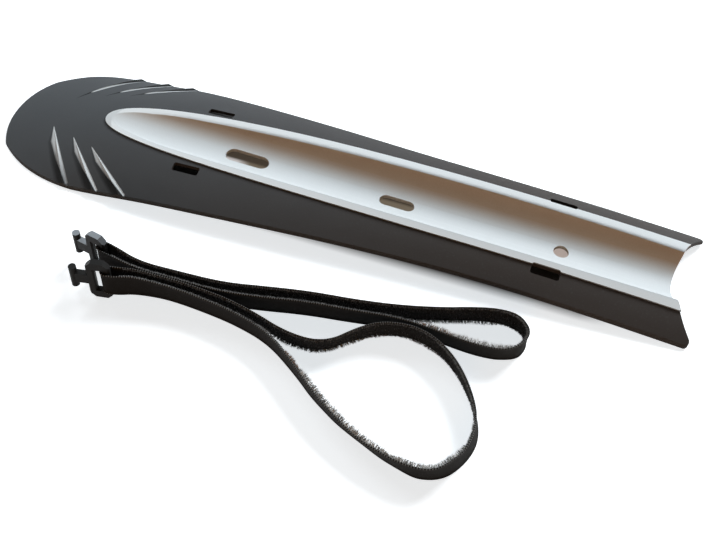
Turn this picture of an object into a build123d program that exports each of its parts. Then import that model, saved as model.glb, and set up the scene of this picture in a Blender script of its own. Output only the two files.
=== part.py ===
"""Clip-on bicycle mudguard for a down tube, lying beside its two T-hook straps.

Millimetres. +X runs from the nose to the tail, +Y to the left of the frame, +Z up. The origin lies on
the surface that the guard rests on, under the middle of its length.
"""

import os
from math import asin, cos, degrees, radians, sin, sqrt, tan

from build123d import *

# Blade: a thin shell, arched along its length and across its width
guard_length = 420.0
nose_width = 102.6
waist_width = 83.6
tail_width = 81.8
blade_wall = 2.2
blade_edge_chamfer = 0.6
crest_height = 21.2
crest_from_nose = 235.0
nose_arch_drop = 11.6
tail_arch_drop = 7.1
nose_bend_from_tip = 95.0
nose_bend_radius = 560.0
nose_front_radius = 57.0
nose_front_width = 59.0
nose_corner_radius = 10.0
nose_corner_turn = 18.0
shoulder_from_tip = 66.0
waist_from_tail = 150.0
tail_cut_radius = 58.0
tail_corner_radius = 2.5

# Radius of the cross arch at stations along the guard, measured from the nose tip
tip_section_radius = 200.0
nose_section_from_tip = 34.0
nose_section_radius = 135.0
shoulder_section_from_tip = 75.0
shoulder_section_radius = 116.0
neck_section_from_tip = 115.0
neck_section_radius = 129.0
middle_section_from_tip = 250.0
middle_section_radius = 91.0
tail_section_radius = 78.0
arch_sections = 17

# Gills: three raised wedges on each side of the nose, placed from the nose tip.
# Their inner ends are measured from the middle line, and their outer ends in from the shoulder's edge.
gill_height = 1.3
gill_width = 8.6
gill_crest_share = 0.31
gill_root = 0.5
gill_sections = 7
gill_overrun = 1.05
gill_inner_points = ((34.0, 14.0), (52.0, 21.5), (67.5, 26.5))
gill_outer_insets = ((62.0, 1.5), (81.5, 1.0), (99.0, 1.5))

# Cradle: the trough for the down tube, with a lip that lies on the blade
tube_diameter = 44.0
cradle_wall = 2.2
cradle_slope = 1.8
scoop_from_tip = 110.0
scoop_rise_radius = 340.0
scoop_turn = 12.0
lip_overhang = 1.1
lip_least_lap = 0.8
lip_height = 0.9
seat_gap = 0.05
opening_clearance = 0.2
crest_round_radius = 5.0
rim_tip_from_nose = 62.7
rim_tip_handle = 11.0
rim_flank_from_nose = 85.0
rim_full_from_nose = 290.0
oval_length = 27.0
oval_width = 10.0
oval_from_nose = 153.6
small_oval_length = 21.0
small_oval_width = 8.0
small_oval_from_nose = 246.5
bolt_hole_diameter = 8.8
bolt_hole_from_nose = 343.8

# Straps and the slots that take them
strap_width = 15.0
strap_thickness = 1.8
slot_play = 1.0
slot_width = 5.5
slot_corner_radius = 1.2
front_slot_from_nose = 126.4
front_slot_beside_rim = 0.7
rear_slot_from_nose = 338.2
rear_slot_beside_rim = 1.9

# T-hooks
hook_thickness = 3.6
hook_bar_diameter = 4.2
hook_bar_length = 14.0
hook_stem_length = 7.5
hook_stem_height = 6.5
hook_inner_bar = 4.5
hook_slot_width = 4.5
hook_strap_bar = 4.0
hook_rail_height = 5.0
hook_slot_play = 1.5
hook_corner_cut = 3.2
hook_edge_cut = 0.9
strap_clearance = 0.15
strap_straight_past_hook = 3.0
strap_bend_share = 0.45
front_hook_place = (-105.5, -117.2)
front_hook_heading = 10.0
rear_hook_place = (-115.0, -95.5)
rear_hook_heading = -12.0

# Plan routes of the straps, from the front of each hook round the loop to its back
front_strap_route = (
    (-74.0, -111.8), (-57.0, -107.6), (-38.0, -107.6), (-18.0, -110.2), (2.0, -115.6), (20.0, -127.0),
    (40.0, -139.0), (62.0, -149.5), (84.0, -158.5), (103.0, -163.0), (116.0, -151.0), (120.0, -131.0),
    (110.0, -111.5), (95.0, -94.5), (76.0, -85.5), (57.0, -88.0), (44.0, -97.5), (31.0, -112.0),
    (12.0, -113.5), (-8.0, -107.5), (-32.0, -103.0), (-56.0, -104.0), (-75.0, -108.0),
)
rear_strap_route = (
    (-77.0, -104.6), (-56.0, -100.6), (-32.0, -99.6), (-10.0, -95.8), (14.0, -89.8), (38.0, -86.8),
    (62.0, -82.2), (82.0, -83.4), (97.0, -84.9), (108.5, -85.0), (119.0, -83.4), (127.2, -77.4),
    (128.8, -67.9), (122.2, -60.6), (111.0, -60.0), (97.0, -64.0), (82.0, -69.8), (60.0, -77.4),
    (38.0, -81.8), (14.0, -85.2), (-8.0, -89.8), (-30.0, -94.6), (-54.0, -97.0), (-76.0, -101.5),
)
strap_lift_start = -42.0
strap_lift_end = -82.0

# Derived places
nose_x = -guard_length / 2
tail_x = guard_length / 2
crest_x = nose_x + crest_from_nose
tail_tip_y = tail_width / 2 - tail_corner_radius
tail_cut_x = tail_x - tail_corner_radius + sqrt((tail_cut_radius + tail_corner_radius) ** 2 - tail_tip_y**2)
tail_floor_x = tail_cut_x - tail_cut_radius
tube_radius = tube_diameter / 2
rim_width = tube_diameter + 2 * (cradle_wall + lip_overhang)
slot_length = strap_width + slot_play
frame_length = hook_inner_bar + hook_slot_width + hook_strap_bar
strap_lift = hook_rail_height + hook_slot_play / 2
hook_height = 2 * hook_rail_height + strap_width + hook_slot_play
block_margin = 6.0
block_depth = 80.0
tall = 60.0

stations = (
    (nose_x - block_margin, tip_section_radius),
    (nose_x + nose_section_from_tip, nose_section_radius),
    (nose_x + shoulder_section_from_tip, shoulder_section_radius),
    (nose_x + neck_section_from_tip, neck_section_radius),
    (nose_x + middle_section_from_tip, middle_section_radius),
    (tail_x + block_margin, tail_section_radius),
)


def crown_height(x):
    """Height of the blade's top along its middle line."""
    bend = max(0.0, nose_x + nose_bend_from_tip - x)
    if x < crest_x:
        arch_drop = nose_arch_drop * ((x - crest_x) / (nose_x - crest_x)) ** 2
    else:
        arch_drop = tail_arch_drop * ((x - crest_x) / (tail_x - crest_x)) ** 2
    return crest_height - arch_drop - bend**2 / (2 * nose_bend_radius)


def section_radius(x):
    """Radius of the cross arch, which changes evenly from one station to the next."""
    for (low, low_radius), (high, high_radius) in zip(stations, stations[1:]):
        if x <= high:
            return low_radius + (high_radius - low_radius) * (x - low) / (high - low)
    return stations[-1][1]


def under_arch(rise):
    """Block whose top is the blade's top face, raised by the given amount."""
    step = (guard_length + 2 * block_margin) / (arch_sections - 1)
    with BuildPart() as block:
        for section in range(arch_sections):
            x = nose_x - block_margin + section * step
            along = (x - nose_x) / guard_length
            half = (nose_width + (tail_width - nose_width) * along) / 2 + block_margin
            centre = crown_height(x) - section_radius(x)
            radius = section_radius(x) + rise
            edge = centre + sqrt(radius**2 - half**2)
            with BuildSketch(Plane.YZ.offset(x)):
                with BuildLine():
                    ThreePointArc((-half, edge), (0, centre + radius), (half, edge))
                    Polyline((half, edge), (half, -block_depth), (-half, -block_depth), (-half, edge))
                make_face()
        loft()
    return block.part


def guard_outline():
    """Plan of the guard: blunt nose, broad shoulders, a waist and a hollowed tail."""
    nose_angle = degrees(asin(nose_front_width / 2 / nose_front_radius))
    tail_angle = degrees(asin(tail_tip_y / (tail_cut_radius + tail_corner_radius)))
    shoulder = (nose_x + shoulder_from_tip, nose_width / 2)
    waist = (tail_x - waist_from_tail, waist_width / 2)
    tip_centre = (tail_x - tail_corner_radius, tail_tip_y)
    with BuildSketch() as outline:
        with BuildLine():
            front = CenterArc((nose_x + nose_front_radius, 0), nose_front_radius, 180, -nose_angle)
            corner = JernArc(front @ 1, front % 1, nose_corner_radius, -nose_corner_turn)
            tail = CenterArc((tail_cut_x, 0), tail_cut_radius, 180, -tail_angle)
            tip = CenterArc(tip_centre, tail_corner_radius, 90, -90 - tail_angle)
            Spline(corner @ 1, shoulder, tangents=(corner % 1, (1, 0)))
            Spline(shoulder, waist, tip @ 0, tangents=((1, 0), (1, 0)))
            Line(front @ 0, tail @ 0)
        make_face()
        mirror(about=Plane.XZ)
    return outline.sketch


def rim_outline(inset):
    """Plan of the cradle's lip, drawn in by an inset: a round tip that widens into parallel edges."""
    half = rim_width / 2 - inset
    tip = (nose_x + rim_tip_from_nose + inset, 0)
    tip_handle = (tip[0], rim_tip_handle)
    flank_handle = (nose_x + rim_flank_from_nose, half)
    full = (nose_x + rim_full_from_nose, half)
    end = (tail_x + block_margin, half)
    with BuildSketch() as outline:
        with BuildLine():
            Bezier(tip, tip_handle, flank_handle, full)
            Polyline(full, end, (end[0], 0), tip)
        make_face()
        mirror(about=Plane.XZ)
    return outline.sketch


def tube_space(radius):
    """Bar along the down tube's axis, rising out of the blade at the scoop end."""
    floor_height = cradle_wall - (tail_x + block_margin - tail_floor_x) * tan(radians(cradle_slope))
    with BuildPart() as space:
        with BuildLine(Plane.XZ) as axis:
            start = (tail_x + block_margin, floor_height + tube_radius)
            run = guard_length + block_margin - scoop_from_tip
            straight = Line(start, (start[0] - run, start[1] + run * tan(radians(cradle_slope))))
            JernArc(straight @ 1, straight % 1, scoop_rise_radius - tube_radius, -scoop_turn)
        with BuildSketch(axis.line ^ 0):
            Circle(radius)
        sweep()
    return space.part


def trough_block(gap):
    """Outside of the trough, grown by a gap, and kept inside the lip so that the lip laps the blade."""
    with BuildPart() as block:
        add(tube_space(tube_radius + cradle_wall + gap))
        add(rim_outline(lip_least_lap - gap))
        extrude(amount=tall, mode=Mode.INTERSECT)
    return block.part


def cradle_blank():
    """Everything that the cradle may fill: the lip above the blade and the trough's wall below it."""
    with BuildPart() as blank:
        add(rim_outline(0))
        extrude(amount=tall)
        add(under_arch(seat_gap), mode=Mode.SUBTRACT)
        add(trough_block(0))
    return blank.part


def strap_slots():
    """The four slots that the straps and their hooks go through."""
    with BuildPart() as slots:
        with BuildSketch():
            for x, beside in (
                (nose_x + front_slot_from_nose, front_slot_beside_rim),
                (nose_x + rear_slot_from_nose, rear_slot_beside_rim),
            ):
                with Locations((x, rim_width / 2 + beside), (x, -rim_width / 2 - beside)):
                    RectangleRounded(slot_length, slot_width, slot_corner_radius)
        extrude(amount=tall)
    return slots.part


def foot(place, surface):
    """Point of a surface above a place on the plan."""
    hits = surface.find_intersection_points(Axis((place.X, place.Y, 0), (0, 0, 1)))
    return max((point for point, _ in hits), key=lambda point: point.Z)


def gill(inner, outer, surface):
    """Wedge that rises from nothing at its inner end, with its steep side to the tail."""
    start = Vector(nose_x + inner[0], inner[1], 0)
    finish = Vector(nose_x + outer[0], nose_width / 2 - outer[1], 0)
    along = (finish - start).normalized()
    noseward = along.rotate(Axis.Z, 90)
    with BuildPart() as wedge:
        for step in range(gill_sections):
            share = gill_overrun * step / (gill_sections - 1)
            place = start + (finish - start) * share
            width = gill_width * share + gill_root
            crest = (width * gill_crest_share, gill_height * share)
            tail_foot = foot(place, surface)
            crest_foot = foot(place + noseward * crest[0], surface)
            section = Plane(origin=tail_foot, x_dir=crest_foot - tail_foot, z_dir=along)
            with BuildSketch(section):
                with BuildLine():
                    Polyline((0, -gill_root), crest, (width, -gill_root), close=True)
                make_face()
        loft(ruled=True)
    return wedge.part


def hook_plane(place, heading):
    """Upright plane through a hook: its X runs from the cross bar to the strap."""
    turn = radians(heading)
    return Plane(origin=(*place, 0), x_dir=(cos(turn), sin(turn), 0), z_dir=(sin(turn), -cos(turn), 0))


def t_hook(plane):
    """Moulded hook standing on its edge: round cross bar, stem and slotted frame."""
    frame_middle = hook_stem_length + frame_length / 2
    slot_middle = hook_stem_length + hook_inner_bar + hook_slot_width / 2
    with BuildPart() as hook:
        with BuildSketch(plane) as frame:
            with Locations((frame_middle, hook_height / 2)):
                Rectangle(frame_length, hook_height)
            chamfer(frame.vertices(), hook_corner_cut)
            with Locations((slot_middle, hook_height / 2)):
                Rectangle(hook_slot_width, strap_width + hook_slot_play, mode=Mode.SUBTRACT)
        extrude(amount=hook_thickness / 2, both=True)
        upright = hook.edges().filter_by(Axis.Z)
        chamfer(upright, hook_edge_cut)
        with BuildSketch(plane):
            with Locations((hook_stem_length / 2, hook_height / 2)):
                Rectangle(hook_stem_length + 2 * hook_edge_cut, hook_stem_height)
        extrude(amount=hook_thickness / 2, both=True)
        with BuildSketch(Plane(plane.origin, z_dir=(0, 0, 1)).offset((hook_height - hook_bar_length) / 2)):
            Circle(hook_bar_diameter / 2)
        extrude(amount=hook_bar_length)
    return hook.part


def strap_path(plane, route):
    """Closed plan route of a strap: round the hook's strap bar, then along the chosen points."""
    beside = hook_thickness / 2 + strap_clearance + strap_thickness / 2
    turn_at = hook_stem_length + hook_inner_bar + hook_slot_width - strap_clearance - strap_thickness / 2
    leave_at = hook_stem_length + frame_length + strap_straight_past_hook
    at_hook = ((leave_at, -beside), (turn_at, -beside), (turn_at, beside), (leave_at, beside))
    wrap = [plane.from_local_coords(Vector(along, 0, out)) for along, out in at_hook]
    return [*wrap, *(Vector(x, y) for x, y in route)]


def bend_radii(points):
    """Largest even radius at each corner of a closed route."""
    radii = []
    for before, corner, after in zip(points[-1:] + points[:-1], points, points[1:] + points[:1]):
        runs = ((corner - before).length, (after - corner).length)
        turn = (corner - before).get_angle(after - corner)
        radii.append(strap_bend_share * min(runs) / tan(radians(turn / 2)))
    return radii


def strap(points, radii):
    """Tape standing on its edge, lifted to the slot of its hook at one end."""
    top = strap_width + strap_lift
    low_x = min(point.X for point in points) - block_margin
    high_x = max(point.X for point in points) + block_margin
    reach = max(abs(point.Y) for point in points) + block_margin
    with BuildPart() as tape:
        with BuildSketch():
            with BuildLine():
                FilletPolyline(*points, radius=radii, close=True)
            make_face()
            offset(amount=strap_thickness / 2)
            with BuildLine():
                FilletPolyline(*points, radius=radii, close=True)
            offset(make_face(mode=Mode.PRIVATE), amount=-strap_thickness / 2, mode=Mode.SUBTRACT)
        extrude(amount=top)
        with BuildSketch(Plane.XZ):
            with BuildLine():
                for base in (0, strap_width):
                    raised = (strap_lift_end, base + strap_lift)
                    flat = (strap_lift_start, base)
                    Line((low_x, base + strap_lift), raised)
                    Spline(raised, flat, tangents=((1, 0), (1, 0)))
                    Line(flat, (high_x, base))
                Line((low_x, strap_lift), (low_x, top))
                Line((high_x, 0), (high_x, strap_width))
            make_face()
        extrude(amount=reach, both=True, mode=Mode.INTERSECT)
    return tape.part


blade_top = under_arch(0)
blade_under = under_arch(-blade_wall)
trough_opening = trough_block(opening_clearance)
lip_and_wall = cradle_blank()
outline = guard_outline()
slots = strap_slots()
gills = [gill(inner, outer, blade_top) for inner, outer in zip(gill_inner_points, gill_outer_insets)]

with BuildPart() as blade:
    add(outline)
    extrude(amount=tall)
    add(blade_top, mode=Mode.INTERSECT)
    top_rim = blade.faces().sort_by(Axis.Z)[-1].outer_wire().edges()
    chamfer(top_rim, blade_edge_chamfer)
    for wedge in gills:
        add(wedge)
        add(mirror(wedge, about=Plane.XZ, mode=Mode.PRIVATE))
    add(outline)
    extrude(amount=tall, mode=Mode.INTERSECT)
    add(blade_under, mode=Mode.SUBTRACT)
    add(trough_opening, mode=Mode.SUBTRACT)
    add(slots, mode=Mode.SUBTRACT)
blade.part.label = "blade"

with BuildPart() as cradle:
    add(under_arch(lip_height))
    add(tube_space(tube_radius), mode=Mode.SUBTRACT)
    round_faces = (GeomType.CYLINDER, GeomType.TORUS)
    trough_edges = cradle.faces().filter_by(lambda face: face.geom_type in round_faces).edges()
    crest = [edge for edge in cradle.faces().sort_by(Axis.Z)[-1].edges() if edge in trough_edges]
    fillet(crest, crest_round_radius)
    add(lip_and_wall, mode=Mode.INTERSECT)
    add(outline)
    extrude(amount=tall, mode=Mode.INTERSECT)
    with BuildSketch():
        with Locations((nose_x + oval_from_nose, 0)):
            SlotOverall(oval_length, oval_width)
        with Locations((nose_x + small_oval_from_nose, 0)):
            SlotOverall(small_oval_length, small_oval_width)
        with Locations((nose_x + bolt_hole_from_nose, 0)):
            Circle(bolt_hole_diameter / 2)
    extrude(amount=tall, mode=Mode.SUBTRACT)
    add(slots, mode=Mode.SUBTRACT)
cradle.part.label = "cradle"

pieces = [blade.part, cradle.part]
for name, place, heading, route in (
    ("front", front_hook_place, front_hook_heading, front_strap_route),
    ("rear", rear_hook_place, rear_hook_heading, rear_strap_route),
):
    plane = hook_plane(place, heading)
    points = strap_path(plane, route)
    radii = bend_radii(points)
    print(name, "strap radii", [round(radius, 1) for radius in radii])
    hook = t_hook(plane)
    hook.label = f"{name}_hook"
    tape = strap(points, radii)
    tape.label = f"{name}_strap"
    pieces += [hook, tape]

os.makedirs("parts", exist_ok=True)
for piece in pieces:
    export_step(piece, f"parts/{piece.label}.step")
    print(piece.label, len(piece.solids()), round(piece.volume), piece.is_valid, piece.bounding_box())
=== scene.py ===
# %% [markdown]
# # A strap-on bicycle mudguard and its two straps
#
# The guard is two thin mouldings: a black blade that is arched both ways, and a silver trough that takes
# the bicycle's down tube. Two loops of hook-and-loop tape lie beside it, each threaded on a black T-hook.
# The mouldings and the hooks arrive as finished solids, so this lesson gives them their surfaces. The
# tape arrives as a plain band, so here it is made again as what it is: a woven strip with a hairy side.

# %% Load the solids
import random
from bisect import bisect
from math import atan2, cos, pi, radians, sin, tau

import bpy
from mathutils import Matrix, Vector


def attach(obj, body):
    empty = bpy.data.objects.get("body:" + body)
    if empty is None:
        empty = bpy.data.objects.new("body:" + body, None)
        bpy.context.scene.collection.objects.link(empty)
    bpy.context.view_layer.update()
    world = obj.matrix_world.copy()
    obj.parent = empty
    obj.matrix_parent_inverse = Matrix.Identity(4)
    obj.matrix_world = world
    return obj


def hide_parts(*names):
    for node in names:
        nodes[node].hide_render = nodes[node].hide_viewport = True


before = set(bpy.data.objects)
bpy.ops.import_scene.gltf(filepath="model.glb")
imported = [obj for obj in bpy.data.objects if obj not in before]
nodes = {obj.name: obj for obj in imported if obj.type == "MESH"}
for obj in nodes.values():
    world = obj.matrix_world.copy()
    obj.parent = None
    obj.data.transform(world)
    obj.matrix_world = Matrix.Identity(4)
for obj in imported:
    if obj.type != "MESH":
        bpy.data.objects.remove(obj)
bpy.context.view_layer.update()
mm = 0.001
print("solids:", sorted(nodes))

# %% [markdown]
# ## The camera
#
# The camera stands where the photographer's did: a little to the right of the guard's middle, looking
# down at about half a right angle, with the picture rolled a few degrees. A focal length in pixels is
# what a measured photograph gives, and Blender wants it in millimetres of sensor. A camera aimed by a
# constraint would be shorter to write, but it could not hold the roll.

# %% Camera
image_width = 711
focal_pixels = 1000
sensor_width = 36
camera_place = (0.12208, -0.39773, 0.42012)
camera_azimuth = radians(15.083)
camera_elevation = radians(49.35)
camera_roll = radians(4.394)

camera_data = bpy.data.cameras.new("camera")
camera_data.sensor_fit = "HORIZONTAL"
camera_data.sensor_width = sensor_width
camera_data.lens = focal_pixels * sensor_width / image_width
camera = bpy.data.objects.new("camera", camera_data)
bpy.context.collection.objects.link(camera)
turned = Matrix.Rotation(camera_azimuth, 3, "Z")
tilted = Matrix.Rotation(pi / 2 - camera_elevation, 3, "X")
rolled = Matrix.Rotation(camera_roll, 3, "Z")
camera.rotation_euler = (turned @ tilted @ rolled).to_euler()
camera.location = camera_place
bpy.context.scene.camera = camera
print("lens in mm:", round(camera_data.lens, 2))

# %% [markdown]
# ## Shader maths that reads like maths
#
# A procedural finish is mostly arithmetic on values that vary over the surface. Written as node calls it
# is hard to follow, so one small class wraps a socket and lets Python's own operators add the Math
# nodes. Every other node comes from its `node` method: the type, then the settings, which are made first
# because some of them change the sockets, and then what goes into the sockets.

# %% The socket class
class Signal:
    """A node's output that can be used in Python expressions."""

    def __init__(self, tree, socket=None):
        self.tree = tree
        self.socket = socket

    def node(self, kind, settings=None, inputs=None, output=0):
        """Add a node, set it up, feed its sockets and return one of its outputs."""
        made = self.tree.nodes.new(kind)
        for name, setting in (settings or {}).items():
            if name == "stops":
                self.set_stops(made.color_ramp, setting)
            else:
                setattr(made, name, setting)
        for name, value in (inputs or {}).items():
            if isinstance(value, Signal):
                self.tree.links.new(value.socket, made.inputs[name])
            else:
                made.inputs[name].default_value = value
        return Signal(self.tree, made.outputs[output])

    @staticmethod
    def set_stops(ramp, stops):
        """Give a colour ramp its stops, each a place from 0 to 1 and a grey level."""
        while len(ramp.elements) < len(stops):
            ramp.elements.new(1)
        for element, (place, level) in zip(ramp.elements, stops):
            element.position = place
            element.color = (level, level, level, 1)

    def maths(self, operation, *values):
        return self.node("ShaderNodeMath", {"operation": operation}, dict(enumerate(values)))

    def __add__(self, other):
        return self.maths("ADD", self, other)

    def __sub__(self, other):
        return self.maths("SUBTRACT", self, other)

    def __rsub__(self, other):
        return self.maths("SUBTRACT", other, self)

    def __mul__(self, other):
        return self.maths("MULTIPLY", self, other)

    def __truediv__(self, other):
        return self.maths("DIVIDE", self, other)

    def __rtruediv__(self, other):
        return self.maths("DIVIDE", other, self)

    __radd__ = __add__
    __rmul__ = __mul__


print("operators:", [name for name in vars(Signal) if name.startswith("__")][2:])

# %% [markdown]
# ## Helpers that the finishes share
#
# Each finish starts the same way: a Principled shader with its constant numbers set on the shader's own
# sockets. Noise is read in object space, in metres, so a grain of 0.4 mm is a scale of 2500 whatever the
# piece. Colours are mixed by a Mix node, because a Math node would turn them grey. The masks could be
# painted on an unwrapped map, but most of them follow from where a point of the surface lies and where it
# looks, so two helpers read those, and nothing has to be unwrapped.

# %% Finish helpers
def finish_tree(name, constants):
    """A new material with one Principled shader: the material, its shader and a signal to start from."""
    material = bpy.data.materials.new(name)
    material.use_nodes = True
    shader = material.node_tree.nodes["Principled BSDF"]
    for socket, value in constants.items():
        shader.inputs[socket].default_value = value
    return material, shader, Signal(material.node_tree)


def plug(shader, **signals):
    """Link signals to the shader's sockets: base_color to Base Color, and so on."""
    for name, signal in signals.items():
        socket = shader.inputs[name.replace("_", " ").title()]
        signal.tree.links.new(signal.socket, socket)


def position(start, axis):
    """Where a point of the surface lies on one axis of the part, in metres."""
    place = start.node("ShaderNodeTexCoord", output="Object")
    return start.node("ShaderNodeSeparateXYZ", inputs={0: place}, output=axis)


def facing(start, axis):
    """How far the surface looks along one axis, from -1 to 1."""
    normal = start.node("ShaderNodeNewGeometry", output="Normal")
    return start.node("ShaderNodeSeparateXYZ", inputs={0: normal}, output=axis)


def noise(start, size, detail=2.0):
    """Noise between 0 and 1, with features of about the given size in metres."""
    place = start.node("ShaderNodeTexCoord", output="Object")
    return start.node("ShaderNodeTexNoise", inputs={"Vector": place, "Scale": 1 / size, "Detail": detail})


def mix(start, factor, first, second):
    """Colour that goes from the first to the second as the factor goes from 0 to 1."""
    return start.node("ShaderNodeMix", {"data_type": "RGBA"}, {0: factor, 6: first, 7: second}, output=2)


def ramp(start, value, *stops):
    """Value read through a ramp of (place, level) stops."""
    return start.node("ShaderNodeValToRGB", {"stops": stops}, {"Fac": value})


def bump(start, height, depth, strength=1.0, normal=None):
    """Normal that is bent by a height between 0 and 1, as deep as the given depth in metres."""
    inputs = {"Height": height, "Distance": depth, "Strength": strength}
    if normal is not None:
        inputs["Normal"] = normal
    return start.node("ShaderNodeBump", inputs=inputs)


def tint(red, green, blue):
    """Opaque colour, in linear light."""
    return (red, green, blue, 1.0)


helpers = (finish_tree, plug, position, facing, noise, mix, ramp, bump, tint)
print("helpers:", [helper.__name__ for helper in helpers])

# %% [markdown]
# ## Where the gills are
#
# Three raised gills stand on each side of the nose. Their steep flanks carry a painted highlight, and the
# long slopes beside the crests carry a painted shade that deepens toward the edge. On the left side the
# painted highlight is only a thin line that starts further out. A gill follows a straight line in plan,
# so the distance from that line and the share of its length tell where a point of the surface lies.
# Painting by hand would need a map of the surface; this needs only three pairs of points.

# %% Gill masks
# for each gill, in mm: its foot and its end in plan and the width of the painted highlight on its flank,
# and then how bright that painted highlight still is at its end
gill_lines = (
    ((-176.6, 13.3), (-148.0, 49.8), 4.2, 0.35),
    ((-159.8, 19.7), (-128.5, 50.3), 3.4, 1.0),
    ((-145.4, 24.3), (-111.0, 49.8), 3.3, 1.0),
)
gill_end_share = 0.45
gill_shade_width = 5.5 * mm
gill_shade_foot = 0.5 * mm
left_thinner = 0.62
left_start = 0.22


def gill_mask(start, x, y, left, line):
    """Painted highlight on the flank and painted shade of one gill, each from 0 to 1, for a point's place
    along and beside the guard.
    """
    foot, end, width, fade = line
    run = Vector(end) - Vector(foot)
    length = run.length * mm
    run.normalize()
    beside_x = x - foot[0] * mm
    beside_y = y - foot[1] * mm
    share = (beside_x * run.x + beside_y * run.y) / length
    ahead = beside_y * run.x - beside_x * run.y
    within = ramp(start, share, (0.0, 0.0), (0.03, 1.0), (0.985, 1.0), (1.0, 0.0))
    opening = ramp(start, share, (0.02, 0.1), (0.28, 1.0), (0.6, 0.9), (1.0, gill_end_share))
    side_width = 1 - left_thinner * left
    flank_width = width * mm * opening * side_width
    flank = ramp(start, ahead / flank_width, (0.0, 0.0), (0.12, 1.0), (0.75, 0.8), (1.0, 0.0)) * within
    bright = ramp(start, share - left_start * left, (0.0, 0.0), (0.05, 1.0))
    dimming = ramp(start, share, (0.45, 1.0), (0.95, fade))
    behind = (ahead - flank_width) / ((gill_shade_width * share + gill_shade_foot) * side_width)
    shade = ramp(start, behind, (0.0, 0.0), (0.03, 1.0), (0.5, 0.8), (1.0, 0.0))
    depth = ramp(start, share, (0.1, 0.25), (0.7, 1.0))
    dark = start.maths("MAXIMUM", shade * within * depth, flank * (1 - bright))
    return flank * bright * dimming, dark


def gill_masks(start):
    """All the gills of both sides: one mask for the painted highlight on the flanks and one for the painted
    shade beside the crests.
    """
    x, sideways = position(start, "X"), position(start, "Y")
    y = start.maths("ABSOLUTE", sideways)
    left = start.maths("GREATER_THAN", sideways, 0)
    masks = [gill_mask(start, x, y, left, line) for line in gill_lines]
    flank, shade = masks[0]
    for next_flank, next_shade in masks[1:]:
        flank = start.maths("MAXIMUM", flank, next_flank)
        shade = start.maths("MAXIMUM", shade, next_shade)
    return flank, shade


print("gills on each side:", len(gill_lines))

# %% [markdown]
# ## Black plastic of the blade
#
# The blade is moulded in a mould with a fine spark-eroded grain, which makes the black look like matt
# slate: it scatters the light and shows no clear reflection. The grain could be modelled, but at 0.4 mm
# a bump is enough. The slate is lighter and bluer at the nose, a painted sheen, and darker and browner
# toward the tail, a painted shade, so the place along the guard mixes two tones. The trimmed edge is
# browner still, and where the surface looks decides between it and the rest. The masks of the gills add
# a painted highlight on the flanks and a painted shade beside the crests.

# %% Blade finish
span_along = 400 * mm


def along_guard(start):
    """Place along the guard: 0 near the nose, 0.5 in the middle and 1 near the tail."""
    return position(start, "X") / span_along + 0.5


def blade_plastic():
    material, shader, start = finish_tree("blade_plastic", {"Specular IOR Level": 0.08})
    grain = noise(start, 0.42 * mm, detail=3)
    cloud = noise(start, 34 * mm, detail=3)
    speck = noise(start, 1.1 * mm)
    flank, shade = gill_masks(start)
    flat = ramp(start, facing(start, "Z"), (0.05, 0.0), (0.35, 1.0))
    tailward = ramp(start, along_guard(start), (0.1, 0.0), (0.75, 1.0))
    # lighter, bluer slate at the nose is a painted sheen; darker, browner slate toward the tail is a painted
    # shade
    nose_sheen_slate = mix(start, cloud, tint(0.074, 0.080, 0.087), tint(0.094, 0.101, 0.108))
    tail_shade_slate = mix(start, cloud, tint(0.056, 0.050, 0.048), tint(0.070, 0.064, 0.061))
    slate = mix(start, tailward, nose_sheen_slate, tail_shade_slate)
    dusty = mix(start, ramp(start, speck, (0.58, 0.0), (0.8, 0.35)), slate, tint(0.098, 0.100, 0.102))
    # painted shade beside the gill crests, mixed into the slate
    gill_shaded_slate = mix(start, 0.95 * shade, dusty, tint(0.008, 0.008, 0.008))
    # painted highlight on the steep gill flanks, a light grey
    gill_highlight = mix(start, grain, tint(0.66, 0.70, 0.72), tint(0.80, 0.84, 0.86))
    edge = mix(start, grain, tint(0.034, 0.028, 0.025), tint(0.056, 0.046, 0.041))
    plug(
        shader,
        base_color=mix(start, flat, edge, mix(start, flank, gill_shaded_slate, gill_highlight)),
        roughness=0.52 + 0.16 * grain + 0.06 * cloud - 0.2 * flank,
        normal=bump(start, grain, 0.06 * mm, strength=0.7),
    )
    return material


blade_finish = blade_plastic()
nodes["blade"].material_slots[0].material = blade_finish
print("blade finish:", len(blade_finish.node_tree.nodes), "nodes")

# %% [markdown]
# ## The land along the lip
#
# The trough's lip has a narrow flat land with a crisp inner edge, which shows as a bright band. That edge
# is finer than the round of the solid. A solid isn't changed here, so the shading normal is turned
# upright on the land, as a bump would do. The lip's crest falls away from its highest point as a
# parabola, and the land is what lies just below the crest. Toward the tail the land leans outward a little.

# %% Land of the lip
crest_top = 19.5 * mm
crest_fall = 0.173  # times x squared, in metres
land_drop = 1.45 * mm
land_lean = 0.14
land_from_x, land_full_x = -150 * mm, -122 * mm
lean_from_x, lean_full_x = -120 * mm, 40 * mm


def progress(value, first, last):
    """0 where the value is at the first number and 1 where it is at the last."""
    return (value - first) / (last - first)


def land_mask(start):
    """1 on the land of the lip and 0 elsewhere."""
    x = position(start, "X")
    drop = crest_top - crest_fall * x * x - position(start, "Z")
    depth = land_drop * ramp(start, progress(x, land_from_x, land_full_x), (0.0, 0.12), (1.0, 1.0))
    upper_side = ramp(start, facing(start, "Z"), (0.25, 0.0), (0.4, 1.0))
    return ramp(start, drop / depth, (0.8, 1.0), (1.0, 0.0)) * upper_side


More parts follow.
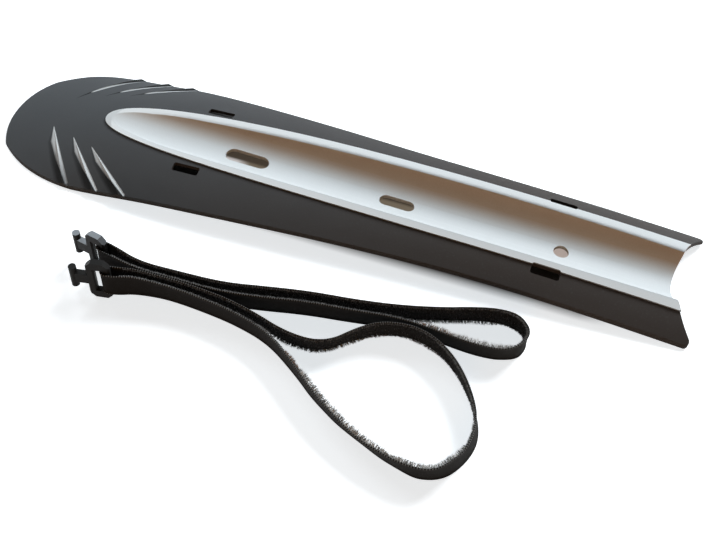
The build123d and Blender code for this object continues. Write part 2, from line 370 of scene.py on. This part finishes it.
def land_normal(start):
    """The surface's normal, turned almost upright on the land of the lip."""
    normal = start.node("ShaderNodeNewGeometry", output="Normal")
    side = start.maths("SIGN", position(start, "Y"))
    length = progress(position(start, "X"), lean_from_x, lean_full_x)
    leaning = ramp(start, length, (0.0, 0.0), (1.0, land_lean))
    outward = start.node("ShaderNodeCombineXYZ", inputs={"Y": leaning * side, "Z": 1})
    inputs = {0: land_mask(start), 4: normal, 5: outward}
    turned = start.node("ShaderNodeMix", {"data_type": "VECTOR"}, inputs, output=1)
    return start.node("ShaderNodeVectorMath", {"operation": "NORMALIZE"}, {0: turned})


print("land of the lip:", round(land_drop / mm, 2), "mm deep below the crest")

# %% [markdown]
# ## Silver plastic of the trough
#
# The trough is light plastic with metal flake in it: satin, almost white where it faces the light. A
# metallic shader would mirror the dark room, so it stays a plastic, and the flake is a fine speckle in
# colour and roughness. The left wall, on the far side, carries a painted brown shade that fades toward
# the floor of the trough, the steep outer side of the lip carries a painted dark shade where it meets the
# blade, and the land carries a painted highlight that is whiter toward the nose. The way that the
# surface looks finds the first two.

# %% Cradle finish
# where the painted highlight on the land fades from the nose toward the tail
highlight_from_x, highlight_to_x = -120 * mm, 170 * mm


def wall_masks(start):
    """Two masks of painted shade: the left wall inside the trough, and the steep outer side of the lip on
    both sides.
    """
    y, sideways, upright = position(start, "Y"), facing(start, "Y"), facing(start, "Z")
    left = start.maths("GREATER_THAN", y, 0)
    to_middle = ramp(start, 0 - sideways, (0.02, 0.0), (0.2, 1.0))
    to_outside = ramp(start, sideways * start.maths("SIGN", y), (0.1, 0.0), (0.3, 1.0))
    inside = left * to_middle * ramp(start, upright, (0.8, 1.0), (0.99, 0.0))
    outer = to_outside * ramp(start, upright, (0.2, 1.0), (0.4, 0.0))
    return inside, outer


def cradle_plastic():
    material, shader, start = finish_tree("cradle_plastic", {"Specular IOR Level": 0.15})
    flake = noise(start, 0.55 * mm, detail=2)
    cloud = noise(start, 40 * mm, detail=2)
    length = progress(position(start, "X"), highlight_from_x, highlight_to_x)
    noseward = ramp(start, length, (0.0, 1.0), (1.0, 0.0))
    land = land_mask(start)
    inside, outer = wall_masks(start)
    silver = mix(start, flake, tint(0.69, 0.73, 0.75), tint(0.78, 0.815, 0.83))
    clouded = mix(start, 0.2 * cloud, silver, tint(0.65, 0.665, 0.67))
    # painted highlight: the land is painted whiter toward the nose
    highlit_land = mix(start, land * noseward, clouded, tint(0.90, 0.94, 0.96))
    # painted brown shade on the left wall inside the trough
    painted_shade_brown = mix(start, flake, tint(0.47, 0.345, 0.245), tint(0.57, 0.43, 0.315))
    shaded_silver = mix(start, inside * (1 - land), highlit_land, painted_shade_brown)
    plug(
        shader,
        # painted dark shade on the steep outer side of the lip
        base_color=mix(start, outer, shaded_silver, tint(0.22, 0.22, 0.225)),
        roughness=0.42 + 0.14 * flake,
        normal=bump(start, flake, 0.03 * mm, strength=0.5, normal=land_normal(start)),
    )
    return material


cradle_finish = cradle_plastic()
nodes["cradle"].material_slots[0].material = cradle_finish
print("cradle finish:", len(cradle_finish.node_tree.nodes), "nodes")

# %% [markdown]
# ## Black plastic of the hooks
#
# The hooks come from a polished mould, so they are smoother than the blade. A slow noise in colour and
# roughness stands for handling marks. The rear hook's upper faces carry a painted highlight, a pale grey.
# Both hooks share one finish, so the place across the part tells the rear hook from the front one, and a
# second material isn't needed.

# %% Hook finish
between_hooks_y = -107 * mm


def hook_plastic():
    material, shader, start = finish_tree("hook_plastic", {"Specular IOR Level": 0.07})
    smudge = noise(start, 4 * mm, detail=3)
    grain = noise(start, 0.3 * mm)
    rear_only = start.maths("GREATER_THAN", position(start, "Y"), between_hooks_y)
    upper_faces = ramp(start, facing(start, "Z"), (0.6, 0.0), (0.9, 1.0))
    # painted highlight on the rear hook's upper faces
    painted_top_highlight = rear_only * upper_faces * (0.8 + 0.2 * smudge)
    black = mix(start, smudge, tint(0.010, 0.010, 0.010), tint(0.021, 0.0205, 0.020))
    plug(
        shader,
        base_color=mix(start, painted_top_highlight, black, tint(0.38, 0.42, 0.46)),
        roughness=0.34 + 0.18 * smudge,
        normal=bump(start, grain, 0.02 * mm, strength=0.5),
    )
    return material


hook_finish = hook_plastic()
for name in ("front_hook", "rear_hook"):
    nodes[name].material_slots[0].material = hook_finish
print("hook finish:", len(hook_finish.node_tree.nodes), "nodes")

# %% [markdown]
# ## The route of each strap
#
# A strap is a closed loop of tape, 15 mm wide, that stands on its edge. It starts in the slot of its
# hook, goes round the bar there, runs out along the table, turns and comes back. A cloth simulation could
# let it fall, but it would not fall as the photograph shows, so the points are given, in millimetres.

# %% Routes
strap_routes = {
    "front": (
        (-74.0, -111.8), (-57.0, -107.6), (-38.0, -107.4), (-18.0, -109.8), (2.0, -115.2), (19.5, -126.8),
        (38.2, -142.0), (59.6, -154.2), (82.0, -162.4), (102.0, -164.6), (114.8, -150.6), (117.8, -131.0),
        (108.4, -111.5), (94.0, -94.8), (76.0, -85.9), (57.0, -88.2), (44.0, -97.6), (31.0, -111.8),
        (12.0, -112.7), (-8.0, -106.4), (-32.0, -102.7), (-56.0, -103.5), (-75.0, -107.5),
    ),
    "rear": (
        (-77.0, -105.4), (-56.0, -101.6), (-32.0, -100.2), (-10.0, -96.2), (14.0, -90.3), (38.0, -87.0),
        (62.0, -82.6), (82.0, -83.4), (97.0, -84.9), (108.5, -85.0), (119.0, -83.4), (127.2, -77.4),
        (128.8, -67.9), (122.2, -60.6), (111.0, -60.0), (97.0, -64.0), (82.0, -69.8), (60.0, -76.4),
        (38.0, -80.8), (14.0, -84.1), (-8.0, -89.1), (-30.0, -94.5), (-54.0, -97.2), (-76.0, -101.4),
    ),
}
for name, route in strap_routes.items():
    print(name, "route:", len(route), "points")

# %% [markdown]
# ## Round the bar of the hook
#
# At its hook the tape comes out of the slot, lies round the bar and leaves along both sides of the frame.
# These points could be picked by eye too, but they have to fit the hook. So they are worked out from the
# hook's place, which is its cross bar, and its heading, with the same distances as the solid has.

# %% Wrap points
hook_places = {"front": (-105.5, -117.2), "rear": (-115.0, -95.5)}
hook_headings = {"front": radians(10), "rear": radians(-12)}
slot_from_cross_bar = 15.45
free_from_cross_bar = 23.5
tape_beside_middle = 2.85


def wrap_points(name):
    """First and last three points of a strap, round the bar of its hook, to a hundredth of a mm."""
    heading = hook_headings[name]
    along = Vector((cos(heading), sin(heading)))
    beside = Vector((sin(heading), -cos(heading))) * tape_beside_middle
    in_slot = Vector(hook_places[name]) + along * slot_from_cross_bar
    free = Vector(hook_places[name]) + along * free_from_cross_bar
    corners = (in_slot, in_slot + beside, free + beside, free - beside, in_slot - beside, in_slot)
    points = [(round(x, 2), round(y, 2)) for x, y in corners]
    return points[:3], points[3:]


for name in strap_routes:
    print(name, "strap starts at", wrap_points(name)[0][0], "mm")

# %% [markdown]
# ## From points to a smooth line
#
# The real tape never bends sharply, so its line mustn't either. A polyline through the points would have
# corners, and a curve with handles would need two more points for each. A NURBS curve uses the points as
# control points and is smooth by itself. Blender turns it into a mesh here, only to read the points along
# it. Near the hook the strap is lifted off the table, because the hook is taller than the tape.

# %% Strap lines
tape_width = 15 * mm
lift_at_hook = 5.75 * mm
lift_start_x = -42 * mm
lift_end_x = -82 * mm


def lift(x):
    """Height of the tape's lower edge: raised at the hook, on the table further out."""
    share = min(1.0, max(0.0, (lift_start_x - x) / (lift_start_x - lift_end_x)))
    return lift_at_hook * share * share * (3 - 2 * share)


def strap_line(name, points):
    """Points along the smooth curve that has the route's points as its control points."""
    curve = bpy.data.curves.new(name, "CURVE")
    curve.dimensions = "3D"
    spline = curve.splines.new("NURBS")
    spline.points.add(len(points) - 1)
    for point, (x, y) in zip(spline.points, points):
        point.co = (x * mm, y * mm, lift(x * mm) + tape_width / 2, 1)
    spline.order_u = 3
    spline.use_endpoint_u = True
    spline.resolution_u = 20
    carrier = bpy.data.objects.new(name, curve)
    read = bpy.data.meshes.new_from_object(carrier)
    line = [vertex.co.copy() for vertex in read.vertices]
    bpy.data.objects.remove(carrier)
    bpy.data.meshes.remove(read)
    return line


def distances(line):
    """Distance along the line at each of its points."""
    run = [0.0]
    for before, after in zip(line, line[1:]):
        run.append(run[-1] + (after - before).length)
    return run


lines = {}
for name, route in strap_routes.items():
    first, last = wrap_points(name)
    lines[name] = strap_line(f"{name}_line", (*first, *route, *last))
    print(name, "strap:", len(lines[name]), "points,", round(distances(lines[name])[-1] / mm), "mm long")

# %% [markdown]
# ## How the tape leans
#
# Loose tape doesn't stand upright all the way: its upper edge leans outward or inward, and that is what
# makes it look narrower in places. A twist on a curve would turn it about the same line, but the lower
# edge has to stay on the table. So a table gives the slope of the face at some distances along each
# strap, in millimetres, and a point of the tape is placed from its line with that slope.

# %% Lean of the tape
lean_along = {
    "front": (
        (0, 0.0), (10, 0.0), (38, 0.14), (105, 0.16), (130, 0.20), (150, 0.28), (172, 0.42), (188, 0.34),
        (206, 0.2), (222, 0.0), (246, -0.2), (300, -0.2), (335, -0.2), (358, -0.3), (388, -0.24),
        (425, -0.17), (452, -0.12), (478, 0.0), (500, 0.0),
    ),
    "rear": (
        (0, 0.0), (10, 0.0), (38, 0.14), (110, 0.17), (185, 0.26), (222, 0.26), (236, 0.05), (248, -0.15),
        (300, -0.2), (400, -0.17), (445, -0.12), (470, 0.0), (500, 0.0),
    ),
}


def lean(name, far):
    """Slope of the tape's face at a distance along its strap: above 0 its upper edge leans outward."""
    places = lean_along[name]
    for (before, first), (after, second) in zip(places, places[1:]):
        if far <= after * mm:
            share = (far / mm - before) / (after - before)
            return first + (second - first) * share * share * (3 - 2 * share)
    return 0.0


def tilted_frame(side, slope):
    """The tape's own directions where it leans: out of its face, and from its lower to its upper edge."""
    turn = atan2(slope, 1)
    up = Vector((0, 0, 1))
    return side * cos(turn) - up * sin(turn), side * sin(turn) + up * cos(turn)


def tape_point(place, side, slope, out, up):
    """Point of the leaning tape, whose lower edge stays at the height where it lies."""
    face, rise = tilted_frame(side, slope)
    sunk = (1 - rise.z) * tape_width / 2
    return place - Vector((0, 0, sunk)) + face * out + rise * up


print("places where the lean is given:", {name: len(places) for name, places in lean_along.items()})

# %% [markdown]
# ## The woven tape
#
# The tape is swept by hand instead of with a curve's bevel, because each point then knows how far along
# and across the tape it is. Those two lengths are stored on the mesh and drive the weave. The section is
# a flat strip with a rolled selvedge at its upper and lower edge, which is what catches the light as a
# thin line.

# %% Tape mesh
half_section = (
    (0.46, 0.0), (0.46, 3.4), (0.46, 6.5), (0.60, 6.72), (0.74, 7.0), (0.70, 7.30), (0.48, 7.48),
    (0.22, 7.46), (0.04, 7.24), (-0.10, 6.9), (-0.20, 6.4), (-0.20, 3.4), (-0.20, 0.0),
)
lower_half = tuple((out, -up) for out, up in reversed(half_section[1:-1]))
tape_section = tuple((out * mm, up * mm) for out, up in half_section + lower_half)


def sides(line):
    """Level direction to the outer side of the tape at each point of its line."""
    found = []
    for index in range(len(line)):
        ahead = line[min(index + 1, len(line) - 1)] - line[max(index - 1, 0)]
        found.append(Vector((ahead.y, -ahead.x, 0)).normalized())
    return found


def store(mesh, name, values):
    """Keep one number for each point of a mesh."""
    mesh.attributes.new(name, "FLOAT", "POINT").data.foreach_set("value", values)


def tape_mesh(strap, line):
    run = distances(line)
    ring = len(tape_section)
    points, along, across, quads = [], [], [], []
    for place, side, far in zip(line, sides(line), run):
        slope = lean(strap, far)
        for out, up in tape_section:
            points.append(tape_point(place, side, slope, out, up))
            along.append(far)
            across.append(up)
    for index in range(len(line) - 1):
        for corner in range(ring):
            first = index * ring + corner
            second = index * ring + (corner + 1) % ring
            quads.append((first, second, second + ring, first + ring))
    last = (len(line) - 1) * ring
    caps = [tuple(reversed(range(ring))), tuple(range(last, last + ring))]
    mesh = bpy.data.meshes.new(f"{strap}_tape")
    mesh.from_pydata(points, [], quads + caps)
    mesh.shade_smooth()
    store(mesh, "along", along)
    store(mesh, "across", across)
    tape = bpy.data.objects.new(f"{strap}_tape", mesh)
    bpy.context.collection.objects.link(tape)
    return tape


tapes = {name: tape_mesh(name, line) for name, line in lines.items()}
for name, tape in tapes.items():
    print(name, "tape:", len(tape.data.polygons), "faces")

# %% [markdown]
# ## Weave of the tape
#
# The outer face of such tape is a dense nylon weave: fine ribs along the tape, crossed by the weft. Two
# sine waves give the threads, one for each direction, and their product is the height. Threads of mesh
# would be millions of faces. A lighter thread is whipped over the selvedge, so near the edge the colour
# alternates between black and grey.

# %% Tape finish
rib_pitch = 0.75 * mm
weft_pitch = 0.62 * mm
stitch_pitch = 1.3 * mm
selvedge_from = 6.5 * mm
selvedge_width = 1 * mm


def wave(start, value, pitch):
    """Value from 0 to 1 that rises and falls once in each pitch."""
    return 0.5 + 0.5 * start.maths("SINE", value * (tau / pitch))


def tape_weave():
    material, shader, start = finish_tree("strap_tape", {"Specular IOR Level": 0.05})
    along = start.node("ShaderNodeAttribute", {"attribute_name": "along"}, output="Fac")
    across = start.node("ShaderNodeAttribute", {"attribute_name": "across"}, output="Fac")
    warp = wave(start, across, rib_pitch)
    weft = wave(start, along, weft_pitch)
    fuzz = noise(start, 0.5 * mm, detail=3)
    cloud = noise(start, 22 * mm, detail=2)
    threads = warp * weft
    distance = start.maths("ABSOLUTE", across)
    selvedge = ramp(start, (distance - selvedge_from) / selvedge_width, (0.3, 0.0), (0.6, 1.0))
    stitch = ramp(start, wave(start, along, stitch_pitch), (0.45, 0.0), (0.7, 1.0))
    body = mix(start, threads, tint(0.008, 0.0074, 0.007), tint(0.020, 0.0186, 0.0178))
    worn = mix(start, 0.5 * cloud, body, tint(0.022, 0.0195, 0.017))
    thread = mix(start, fuzz, tint(0.10, 0.10, 0.10), tint(0.24, 0.24, 0.235))
    plug(
        shader,
        base_color=mix(start, selvedge * stitch, worn, thread),
        roughness=0.62 + 0.25 * fuzz,
        normal=bump(start, threads + 0.4 * fuzz, 0.12 * mm, strength=0.8),
    )
    return material


tape_finish = tape_weave()
for tape in tapes.values():
    tape.data.materials.append(tape_finish)
print("tape finish:", len(tape_finish.node_tree.nodes), "nodes")

# %% [markdown]
# ## The fringe
#
# The inner face of the tape is a pile of fine nylon hairs. Along some stretches of an edge the hairs are
# longer and stand out as a fringe, white or grey where the nylon is clear and brown where it is dirty. A
# noise could scatter them, but the photograph shows where they are. So a table lists each stretch: where
# it begins and ends along the strap, at which edge, how far it reaches, both in millimetres, and its colour.

# %% Fringe
dark_hair = (0.016, 0.015, 0.015)
grey_hair = (0.20, 0.20, 0.198)
white_hair = (0.74, 0.74, 0.72)
brown_hair = (0.22, 0.115, 0.06)
upper, lower = 1, -1
fringe_along = {
    "front": (
        (91, 103, upper, 1.6, grey_hair), (112, 126, upper, 2.2, brown_hair),
        (126, 188, upper, 3.4, white_hair), (188, 230, upper, 2.8, white_hair),
        (228, 300, upper, 1.2, grey_hair), (297, 316, lower, 1.7, brown_hair),
        (326, 338, lower, 1.7, brown_hair), (338, 390, lower, 2.2, white_hair),
    ),
    "rear": (
        (178, 197, upper, 2.8, brown_hair), (196, 228, upper, 2.8, white_hair),
        (228, 262, upper, 1.2, grey_hair), (262, 310, lower, 2.6, white_hair),
    ),
}
plain_fringe = (0.8, dark_hair)
short_end = 0.6
full_after = 15


def fringe(strap, far, edge):
    """Reach and colour of the hairs at one edge of the tape, at a distance along the strap."""
    for first, last, side, reach, colour in fringe_along[strap]:
        if edge == side and first * mm <= far <= last * mm:
            ends = min(far / mm - first, last - far / mm)
            return reach * min(1.0, short_end + ends / full_after), colour
    return plain_fringe


print("stretches of fringe:", {name: len(places) for name, places in fringe_along.items()})

# %% [markdown]
# ## One hair
#
# Blender's own hair would not reach the exported model, so each hair is a tiny bent cone: a triangle at
# the root, a smaller one half way and a tip. Three sides are enough at this size. No point goes below the
# table.

# %% One hair
hair_sides = 3
hair_radius = 0.15 * mm
hair_taper = 0.7
hair_stray = 0.5
hair_sag = 0.4
hair_bend = 0.6


def hair_points(root, inward, ahead, reach, draw):
    """The seven points of one bent hair above the table: a triangle at the root, one half way and the tip."""
    up = Vector((0, 0, 1))
    stray = ahead * draw.uniform(-hair_stray, hair_stray) + up * draw.uniform(-hair_stray, hair_stray)
    bend = ahead * draw.uniform(-hair_stray, hair_stray) + up * draw.uniform(-hair_sag, hair_stray)
    middle = root + (inward + stray * 0.5) * (reach * 0.5)
    tip = root + (inward + stray + bend * hair_bend).normalized() * reach
    rings = []
    for centre, radius in ((root, hair_radius), (middle, hair_taper * hair_radius)):
        for corner in range(hair_sides):
            turn = tau * corner / hair_sides
            rings.append(centre + (ahead * cos(turn) + up * sin(turn)) * radius)
    points = [*rings, tip]
    for point in points:
        point.z = max(point.z, 0.0)
    return points


def hair_faces(first):
    """Faces of one hair whose points start at the given index."""
    faces = [(first + 2, first + 1, first)]
    for corner in range(hair_sides):
        right = (corner + 1) % hair_sides
        low = (first + corner, first + right)
        high = (first + hair_sides + corner, first + hair_sides + right)
        faces.append((*low, high[1], high[0]))
        faces.append((*high, first + 2 * hair_sides))
    return faces


print("points in a hair:", 2 * hair_sides + 1, "faces:", len(hair_faces(0)))

# %% [markdown]
# ## The pile
#
# A particle system could scatter the hairs, but it would not know the fringe. So they are drawn one after
# the other from a seeded source, and the pile is the same each time: first those of the face, which are
# short and nearly all black, and then those of the two edges, as the fringe says. Half of these are dark
# or grey, because a fringe of one colour looks like a ribbon. A colour stored on each point of the mesh
# tells the finish which hair it is.

# %% Pile mesh
hair_root = -0.15 * mm
body_reach = 0.9 * mm
body_hairs = 8000
edge_hairs = 9500
bare_end = 12 * mm
grey_share = 0.06
dull_share = 0.5
face_half = 6.6
face_spread = (0.7, 1.3)
edge_band = (6.2, 7.25)
edge_spread = (0.55, 1.15)


def strand(strap, far, at_edge, draw):
    """Height on the tape, reach and colour of the next hair."""
    if not at_edge:
        colour = grey_hair if draw.random() < grey_share else dark_hair
        return draw.uniform(-face_half, face_half) * mm, body_reach * draw.uniform(*face_spread), colour
    edge = draw.choice((upper, lower))
    reach, colour = fringe(strap, far, edge)
    if draw.random() < dull_share:
        colour = draw.choice((dark_hair, grey_hair, grey_hair))
    return edge * draw.uniform(*edge_band) * mm, reach * draw.uniform(*edge_spread) * mm, colour


def pile_mesh(strap, line, seed):
    draw = random.Random(seed)
    run = distances(line)
    outward = sides(line)
    points, faces, colours = [], [], []
    for index in range(body_hairs + edge_hairs):
        far = draw.uniform(bare_end, run[-1] - bare_end)
        spot = min(bisect(run, far), len(line) - 1)
        share = (far - run[spot - 1]) / (run[spot] - run[spot - 1])
        place = line[spot - 1].lerp(line[spot], share)
        up, reach, colour = strand(strap, far, index >= body_hairs, draw)
        side, slope = outward[spot], lean(strap, far)
        root = tape_point(place, side, slope, hair_root, up)
        face = tilted_frame(side, slope)[0]
        ahead = Vector((-side.y, side.x, 0))
        faces += hair_faces(len(points))
        points += hair_points(root, -face, ahead, reach, draw)
        colours += [(*colour, 1.0)] * (2 * hair_sides + 1)
    mesh = bpy.data.meshes.new(f"{strap}_pile")
    mesh.from_pydata(points, [], faces)
    shades = mesh.color_attributes.new("hair", "FLOAT_COLOR", "POINT")
    shades.data.foreach_set("color", [value for colour in colours for value in colour])
    pile = bpy.data.objects.new(f"{strap}_pile", mesh)
    bpy.context.collection.objects.link(pile)
    return pile


piles = {name: pile_mesh(name, line, seed) for seed, (name, line) in enumerate(lines.items(), 11)}
for name, pile in piles.items():
    print(name, "pile:", len(pile.data.polygons), "faces")

# %% [markdown]
# ## Sheen of the hairs
#
# Nylon hair is smoother than the weave and shines a little. Each hair already has its own colour on the
# mesh, so the finish only reads it and dirties it in streaks. A hair shader would scatter the light better,
# but it would not reach the exported model.

# %% Pile finish
def pile_hair():
    material, shader, start = finish_tree("strap_pile", {"Specular IOR Level": 0.4})
    shade = start.node("ShaderNodeAttribute", {"attribute_name": "hair"}, output="Color")
    streak = noise(start, 0.8 * mm)
    plug(
        shader,
        base_color=mix(start, 0.3 * streak, shade, tint(0.05, 0.045, 0.04)),
        roughness=0.45 + 0.3 * streak,
    )
    return material


pile_finish = pile_hair()
for pile in piles.values():
    pile.data.materials.append(pile_finish)
print("pile finish:", len(pile_finish.node_tree.nodes), "nodes")

# %% [markdown]
# ## Put the tape in place of the band
#
# The tape and its pile take the place of the plain band, which is hidden, and lie on the table with the
# rest of the part. Its length is what the photograph shows, because it shows each loop from end to end.

for name, line in lines.items():
    tape, pile, hook = tapes[name], piles[name], nodes[f"{name}_hook"]
    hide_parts(f"{name}_strap")
    for piece in (tape, pile):
        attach(piece, "root")
    round(distances(line)[-1], 3)
    print(name, "strap declared,", round(distances(line)[-1], 3), "m")

# %% [markdown]
# ## The table
#
# The guard lies on a white ground. A big white plane would need strong lamps to look white, and those
# would bleach the part. So the paper glows, only for the rays that carry the picture, and the lamps can
# stay at a plain level; where the part keeps the lamps off, its soft shadow shows. Under the guard the
# paper doesn't glow and its colour is a painted dark shadow, because the slots show only darkness there,
# and under the holes of the trough it is a painted brownish shade with lighter patches. Far out the paper
# is fully white, so that no edge shows from low down.

# %% Floor
def seen_rays(start):
    """1 for rays that carry the picture: from the camera, from a reflection or through something clear."""
    names = ("Is Camera Ray", "Is Glossy Ray", "Is Transmission Ray")
    camera_ray, glossy_ray, clear_ray = (start.node("ShaderNodeLightPath", output=name) for name in names)
    return start.maths("MINIMUM", camera_ray + glossy_ray + clear_ray, 1)


def painted_light_under_holes(start, lengthways, sideways):
    """Painted shade and light on the table as the holes of the trough show it."""
    by_nose = ramp(start, lengthways, (0.335, 1.0), (0.355, 0.0))
    by_tail = ramp(start, lengthways, (0.76, 0.0), (0.79, 1.0))
    far_part = ramp(start, sideways, (0.565, 0.0), (0.585, 1.0))
    # painted shade under the holes: olive brown, lighter at the nose end, darker on the far part, and a
    # lighter pink at the tail
    olive = mix(start, by_nose, tint(0.15, 0.12, 0.085), tint(0.52, 0.49, 0.48))
    deep = mix(start, far_part, olive, tint(0.05, 0.037, 0.025))
    return mix(start, by_tail, deep, tint(0.40, 0.33, 0.295))


span_across = 100 * mm
white_reach = 2.5  # square metres
floor_constants = {"Roughness": 0.9, "Specular IOR Level": 0.1, "Emission Strength": 1.0}


def floor_paper():
    material, shader, start = finish_tree("floor_paper", floor_constants)
    x, y = position(start, "X"), position(start, "Y")
    lengthways = along_guard(start)
    sideways = y / span_across + 0.5
    between_ends = ramp(start, lengthways, (0.2, 0.0), (0.24, 1.0), (0.88, 1.0), (0.92, 0.0))
    open_sides = ramp(start, sideways, (0.08, 1.0), (0.16, 0.0), (0.95, 0.0), (1.0, 1.0))
    # painted shadow under the guard: no glow there and a dark colour
    painted_shadow_under = between_ends * (1 - open_sides)
    middle = ramp(start, sideways, (0.44, 0.0), (0.49, 1.0), (0.66, 1.0), (0.70, 0.0))
    shade = mix(start, middle, tint(0, 0, 0), painted_light_under_holes(start, lengthways, sideways))
    near = mix(start, painted_shadow_under, tint(0.70, 0.735, 0.76), shade)
    away = ramp(start, (x * x + y * y) / white_reach, (0.08, 0.0), (0.6, 1.0))
    white = mix(start, away, near, tint(1, 1, 1))
    paper = mix(start, noise(start, 30 * mm), tint(0.955, 0.955, 0.955), tint(0.965, 0.965, 0.965))
    plug(
        shader,
        # the paper's colour is a painted dark shadow under the guard
        base_color=mix(start, 0.85 * painted_shadow_under, paper, tint(0.05, 0.045, 0.04)),
        emission_color=mix(start, seen_rays(start), tint(0, 0, 0), white),
    )
    return material


floor_half = 4.0
floor_mesh = bpy.data.meshes.new("floor")
corners = [(x * floor_half, y * floor_half, 0) for x, y in ((-1, -1), (1, -1), (1, 1), (-1, 1))]
floor_mesh.from_pydata(corners, [], [(0, 1, 2, 3)])
floor = bpy.data.objects.new("floor", floor_mesh)
bpy.context.collection.objects.link(floor)
floor_mesh.materials.append(floor_paper())
print("floor:", 2 * floor_half, "m wide")

# %% [markdown]
# ## The lamps
#
# The photograph has one broad light from behind on the right: the far wing and the near wall of the
# trough are bright, and what faces the camera falls into a warm shade. A sun would cut hard shadows, so
# the key is a large area lamp. A weak cool lamp behind the nose keeps the spoon from going flat, and a
# weak warm one, low in front, gives the shaded edges their brown.

# %% Lamps
def area_lamp(name, direction, distance, width, level, colour):
    """Square lamp that lights the middle of the part so that a white card facing it renders at the level."""
    data = bpy.data.lights.new(name, "AREA")
    data.size = width
    data.energy = level * pi * pi * distance * distance
    data.color = colour
    lamp = bpy.data.objects.new(name, data)
    bpy.context.collection.objects.link(lamp)
    lamp.location = Vector(direction).normalized() * distance
    lamp.rotation_euler = Vector(direction).to_track_quat("Z", "Y").to_euler()
    return lamp


lamp_distance = 2.4
area_lamp("key", (0.35, 0.80, 0.70), lamp_distance, width=1.0, level=1.06, colour=(0.92, 0.97, 1.0))
area_lamp("side", (-0.70, 0.45, 0.60), lamp_distance, width=1.2, level=0.22, colour=(0.80, 0.92, 1.0))
area_lamp("fill", (0.10, -0.95, 0.30), lamp_distance, width=1.2, level=0.15, colour=(1.0, 0.52, 0.18))

# %% [markdown]
# ## The white ground behind
#
# Past the table there is nothing but white. A bright world would be the simplest, but it would light the
# part from all sides and wash out its shape. So the world is white only for the rays that carry the
# picture, from the camera or by a reflection, and a dim warm grey for the rays that light the part.

# %% World
world = bpy.data.worlds.new("studio")
bpy.context.scene.world = world
world.use_nodes = True
sky = Signal(world.node_tree)
backdrop = mix(sky, seen_rays(sky), tint(0.055, 0.045, 0.038), tint(1, 1, 1))
world.node_tree.links.new(backdrop.socket, world.node_tree.nodes["Background"].inputs["Color"])
bpy.context.scene.view_settings.view_transform = "Standard"
print("world:", len(world.node_tree.nodes), "nodes")

# %% [markdown]
# ## Close
#
